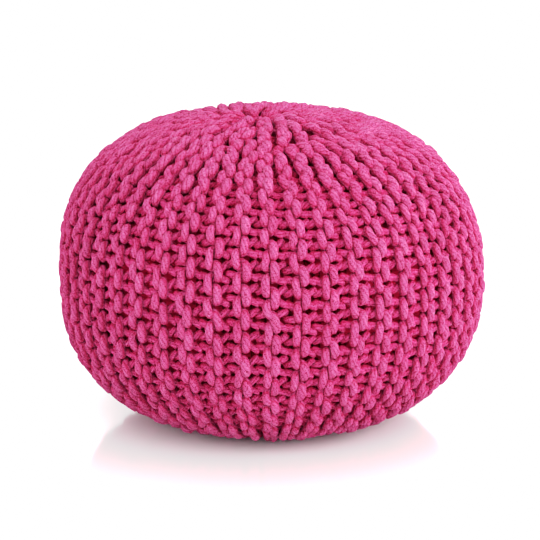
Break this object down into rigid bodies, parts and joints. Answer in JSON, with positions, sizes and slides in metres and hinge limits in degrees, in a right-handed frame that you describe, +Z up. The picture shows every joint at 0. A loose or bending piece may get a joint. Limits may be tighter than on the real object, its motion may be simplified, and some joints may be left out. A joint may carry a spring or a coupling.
{
  "type": "round knitted pouf",
  "caption": "Low round pouf of chunky knitted cord in raised ribs that gather at the middle of the crown, with a flattened underside.",
  "frame": {"origin": "at floor level, under the middle of the widest part, on the flat spot that the pouf rests on", "axes": "+Z up through the crown, -Y towards the viewer of the picture"},
  "size_m": [0.5, 0.5, 0.3659],
  "materials": {
    "knitted_cord": "matte thick cotton cord in hot pink, loosely plied, knitted in garter stitch"
  },
  "bodies": {
    "root": {"knitted_pouf": "knitted_cord"}
  },
  "joints": []
}
